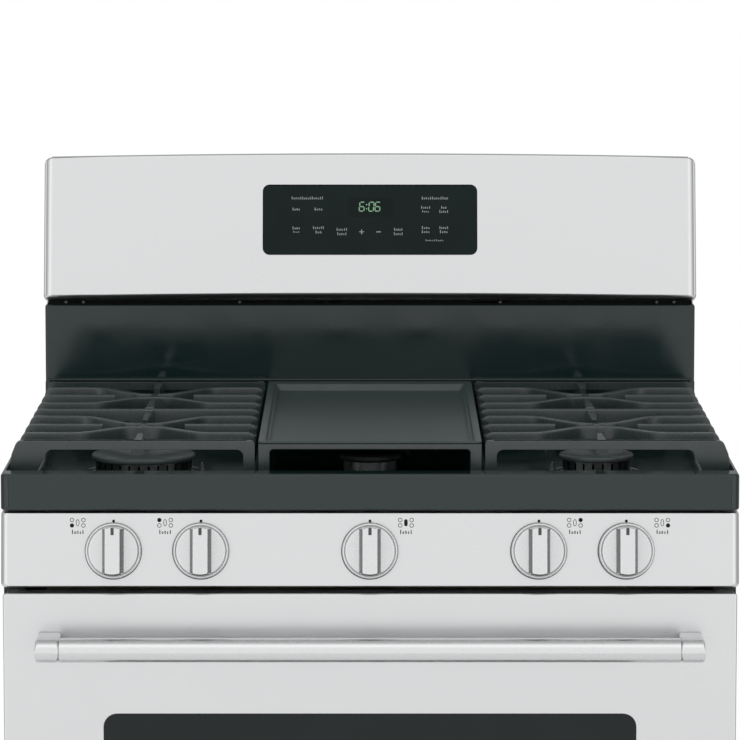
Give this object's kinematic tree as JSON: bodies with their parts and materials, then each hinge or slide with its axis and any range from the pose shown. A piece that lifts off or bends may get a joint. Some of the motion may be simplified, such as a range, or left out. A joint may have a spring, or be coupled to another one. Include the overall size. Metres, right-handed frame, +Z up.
{
  "type": "freestanding gas range",
  "caption": "Freestanding gas range with backguard controls, cast grates, centre griddle, panel of turning knobs, oven door with bar handle, and storage drawer.",
  "frame": {"origin": "centre of the bounding box on the floor, under the four leg pads", "axes": "+X to the right seen from the front, +Y to the rear, +Z up"},
  "size_m": [0.761, 0.72, 1.204],
  "materials": {
    "stainless": "satin",
    "black_enamel": "gloss",
    "black_paint": "satin",
    "zinc_steel": "satin",
    "oven_enamel": "gloss",
    "insulation": "matte",
    "burner_steel": "satin",
    "lamp_glass": "gloss",
    "gasket": "matte",
    "burner_aluminium": "satin",
    "electrode_ceramic": "satin",
    "valve_brass": "satin",
    "cast_aluminium": "matte",
    "vent_black": "matte",
    "display_glass": "gloss",
    "board_green": "satin",
    "black_plastic": "matte",
    "hinge_steel": "satin",
    "screw_steel": "satin",
    "window_glass": "gloss",
    "clear_glass": "gloss",
    "handle_steel": "satin",
    "tub_steel": "satin",
    "rack_chrome": "polished",
    "griddle_iron": "matte",
    "leg_plastic": "matte",
    "knob_metal": "satin",
    "cap_enamel": "matte",
    "grate_iron": "matte"
  },
  "bodies": {
    "chassis": {"base_frame": "zinc_steel", "side_panel_left": "black_paint", "side_panel_right": "black_paint", "rear_cover": "zinc_steel", "oven_liner": "oven_enamel", "oven_insulation": "insulation", "oven_floor": "oven_enamel", "bake_burner": "burner_steel", "broil_burner": "burner_steel", "oven_lamp": "lamp_glass", "door_gasket": "gasket", "cooktop": "black_enamel", "burner_heads": "burner_aluminium", "spark_electrodes": "electrode_ceramic", "burner_tubes": "burner_aluminium", "gas_manifold": "zinc_steel", "gas_valves": "valve_brass", "pressure_regulator": "cast_aluminium", "control_panel": "stainless", "vent_strip": "vent_black", "back_riser": "black_enamel", "backguard_fascia": "stainless", "backguard_rear": "zinc_steel", "display_glass": "display_glass", "control_board": "board_green", "cord_gland": "black_plastic", "hinge_receivers": "hinge_steel", "drawer_runners": "hinge_steel", "body_screws": "screw_steel"},
    "oven_door": {"door_skin": "stainless", "door_window": "window_glass", "door_liner": "oven_enamel", "door_inner_glass": "clear_glass", "door_handle": "handle_steel", "door_handle_ends": "handle_steel", "door_hinges": "hinge_steel"},
    "drawer": {"drawer_front": "stainless", "drawer_tub": "tub_steel"},
    "rack_upper": {"oven_rack_upper": "rack_chrome"},
    "rack_lower": {"oven_rack_lower": "rack_chrome"},
    "grate_left_body": {"grate_left": "grate_iron"},
    "grate_center_body": {"grate_center": "grate_iron"},
    "grate_right_body": {"grate_right": "grate_iron"},
    "griddle_body": {"griddle": "griddle_iron"},
    "legs": {"leveling_legs": "leg_plastic"},
    "stem_body_left_front": {"stem_left_front": "valve_brass"},
    "knob_body_left_front": {"knob_left_front": "knob_metal"},
    "stem_body_left_rear": {"stem_left_rear": "valve_brass"},
    "knob_body_left_rear": {"knob_left_rear": "knob_metal"},
    "stem_body_center": {"stem_center": "valve_brass"},
    "knob_body_center": {"knob_center": "knob_metal"},
    "stem_body_right_rear": {"stem_right_rear": "valve_brass"},
    "knob_body_right_rear": {"knob_right_rear": "knob_metal"},
    "stem_body_right_front": {"stem_right_front": "valve_brass"},
    "knob_body_right_front": {"knob_right_front": "knob_metal"},
    "cap_body_left_front": {"cap_left_front": "cap_enamel"},
    "cap_body_left_rear": {"cap_left_rear": "cap_enamel"},
    "cap_body_center": {"cap_center": "cap_enamel"},
    "cap_body_right_rear": {"cap_right_rear": "cap_enamel"},
    "cap_body_right_front": {"cap_right_front": "cap_enamel"}
  },
  "joints": [
    {"name": "oven_door_hinge", "type": "hinge", "parent": "chassis", "child": "oven_door", "pos_m": [0, -0.294, 0.23], "axis": [1, 0, 0], "range_deg": [0, 88], "stiffness_Nm_per_rad": 13, "springref_deg": -22.92},
    {"name": "upper_rack_slide", "type": "slide", "parent": "chassis", "child": "rack_upper", "axis": [0, -1, 0], "range_m": [0, 0.3]},
    {"name": "lower_rack_slide", "type": "slide", "parent": "chassis", "child": "rack_lower", "axis": [0, -1, 0], "range_m": [0, 0.3]},
    {"name": "drawer_slide", "type": "slide", "parent": "chassis", "child": "drawer", "axis": [0, -1, 0], "range_m": [0, 0.38]},
    {"name": "left_front_push", "type": "slide", "parent": "chassis", "child": "stem_body_left_front", "axis": [0, 0.9903, -0.1392], "range_m": [0, 0.003], "stiffness_N_per_m": 900, "springref_m": -0.002},
    {"name": "left_front_turn", "type": "hinge", "parent": "stem_body_left_front", "child": "knob_body_left_front", "pos_m": [-0.264, -0.30134, 0.839], "axis": [0, -0.9903, 0.1392], "range_deg": [0, 235]},
    {"name": "left_rear_push", "type": "slide", "parent": "chassis", "child": "stem_body_left_rear", "axis": [0, 0.9903, -0.1392], "range_m": [0, 0.003], "stiffness_N_per_m": 900, "springref_m": -0.002},
    {"name": "left_rear_turn", "type": "hinge", "parent": "stem_body_left_rear", "child": "knob_body_left_rear", "pos_m": [-0.174, -0.30134, 0.839], "axis": [0, -0.9903, 0.1392], "range_deg": [0, 235]},
    {"name": "center_push", "type": "slide", "parent": "chassis", "child": "stem_body_center", "axis": [0, 0.9903, -0.1392], "range_m": [0, 0.003], "stiffness_N_per_m": 900, "springref_m": -0.002},
    {"name": "center_turn", "type": "hinge", "parent": "stem_body_center", "child": "knob_body_center", "pos_m": [0, -0.30134, 0.839], "axis": [0, -0.9903, 0.1392], "range_deg": [0, 235]},
    {"name": "right_rear_push", "type": "slide", "parent": "chassis", "child": "stem_body_right_rear", "axis": [0, 0.9903, -0.1392], "range_m": [0, 0.003], "stiffness_N_per_m": 900, "springref_m": -0.002},
    {"name": "right_rear_turn", "type": "hinge", "parent": "stem_body_right_rear", "child": "knob_body_right_rear", "pos_m": [0.174, -0.30134, 0.839], "axis": [0, -0.9903, 0.1392], "range_deg": [0, 235]},
    {"name": "right_front_push", "type": "slide", "parent": "chassis", "child": "stem_body_right_front", "axis": [0, 0.9903, -0.1392], "range_m": [0, 0.003], "stiffness_N_per_m": 900, "springref_m": -0.002},
    {"name": "right_front_turn", "type": "hinge", "parent": "stem_body_right_front", "child": "knob_body_right_front", "pos_m": [0.264, -0.30134, 0.839], "axis": [0, -0.9903, 0.1392], "range_deg": [0, 235]},
    {"name": "left_grate_lift", "type": "slide", "parent": "chassis", "child": "grate_left_body", "axis": [0, 0, 1], "range_m": [0, 0.05]},
    {"name": "center_grate_lift", "type": "slide", "parent": "chassis", "child": "grate_center_body", "axis": [0, 0, 1], "range_m": [0, 0.05]},
    {"name": "right_grate_lift", "type": "slide", "parent": "chassis", "child": "grate_right_body", "axis": [0, 0, 1], "range_m": [0, 0.05]},
    {"name": "griddle_lift", "type": "slide", "parent": "grate_center_body", "child": "griddle_body", "axis": [0, 0, 1], "range_m": [0, 0.04]},
    {"name": "left_front_cap_lift", "type": "slide", "parent": "chassis", "child": "cap_body_left_front", "axis": [0, 0, 1], "range_m": [0, 0.01]},
    {"name": "left_rear_cap_lift", "type": "slide", "parent": "chassis", "child": "cap_body_left_rear", "axis": [0, 0, 1], "range_m": [0, 0.01]},
    {"name": "center_cap_lift", "type": "slide", "parent": "chassis", "child": "cap_body_center", "axis": [0, 0, 1], "range_m": [0, 0.005]},
    {"name": "right_rear_cap_lift", "type": "slide", "parent": "chassis", "child": "cap_body_right_rear", "axis": [0, 0, 1], "range_m": [0, 0.01]},
    {"name": "right_front_cap_lift", "type": "slide", "parent": "chassis", "child": "cap_body_right_front", "axis": [0, 0, 1], "range_m": [0, 0.01]},
    {"name": "leg_adjust", "type": "slide", "parent": "chassis", "child": "legs", "axis": [0, 0, -1], "range_m": [0, 0.02]}
  ],
  "couplings": [
    {"joint": "upper_rack_slide", "follows": "oven_door_hinge", "m_per_rad": 0.19533},
    {"joint": "lower_rack_slide", "follows": "oven_door_hinge", "m_per_rad": 0.19533}
  ]
}
